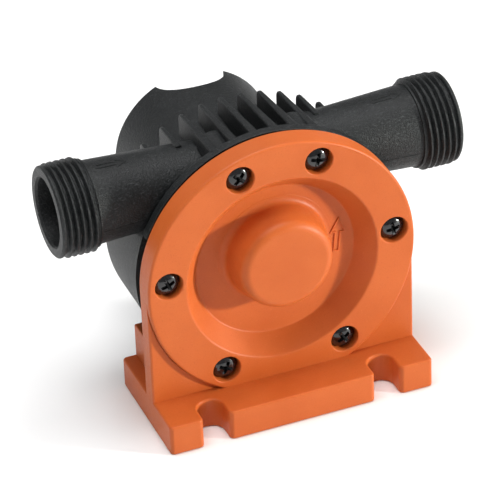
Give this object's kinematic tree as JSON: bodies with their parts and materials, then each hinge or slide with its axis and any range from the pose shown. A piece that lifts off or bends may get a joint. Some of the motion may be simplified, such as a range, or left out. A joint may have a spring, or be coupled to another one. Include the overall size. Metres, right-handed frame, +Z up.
{
  "type": "drill-driven transfer pump",
  "caption": "Self-priming flexible-impeller pump turned by an electric drill, with a slotted foot, finned housing and two coaxial threaded pipes.",
  "frame": {"origin": "centre of the foot's underside, under the spindle", "axes": "+Z up, front cover faces -Y, spindle and drill end point to +Y, pipes along X"},
  "size_m": [0.1176, 0.0828, 0.0825],
  "materials": {
    "orange_plastic": "fine moulded satin, warm orange",
    "black_plastic": "grainy glass-filled black",
    "black_rubber": "smooth rubber",
    "impeller_rubber": "matt rubber",
    "screw_black": "glossy black coated steel",
    "spindle_steel": "turned steel",
    "spring_steel": "spring steel",
    "stainless": "brushed sheet",
    "sintered_bush": "sintered bronze",
    "grey_plastic": "grey moulded plastic"
  },
  "bodies": {
    "pump_body": {"front_cover": "orange_plastic", "pump_housing": "black_plastic", "cover_seal": "black_rubber", "cover_screw_1": "screw_black", "cover_screw_2": "screw_black", "cover_screw_3": "screw_black", "cover_screw_4": "screw_black", "cover_screw_5": "screw_black", "cover_screw_6": "screw_black", "front_bush": "sintered_bush", "rear_bush": "sintered_bush", "shaft_seal": "black_rubber", "seal_spring": "spring_steel", "front_wear_plate": "stainless", "rear_wear_plate": "stainless"},
    "rotor": {"drive_spindle": "spindle_steel", "impeller_hub": "grey_plastic", "drive_pin": "spindle_steel", "impeller": "impeller_rubber", "thrust_washer": "stainless", "circlip": "spring_steel", "slinger_ring": "black_rubber"}
  },
  "joints": [
    {"name": "spindle_turn", "type": "hinge", "parent": "pump_body", "child": "rotor", "pos_m": [0, 0, 0.0465], "axis": [0, 1, 0], "continuous": true}
  ]
}
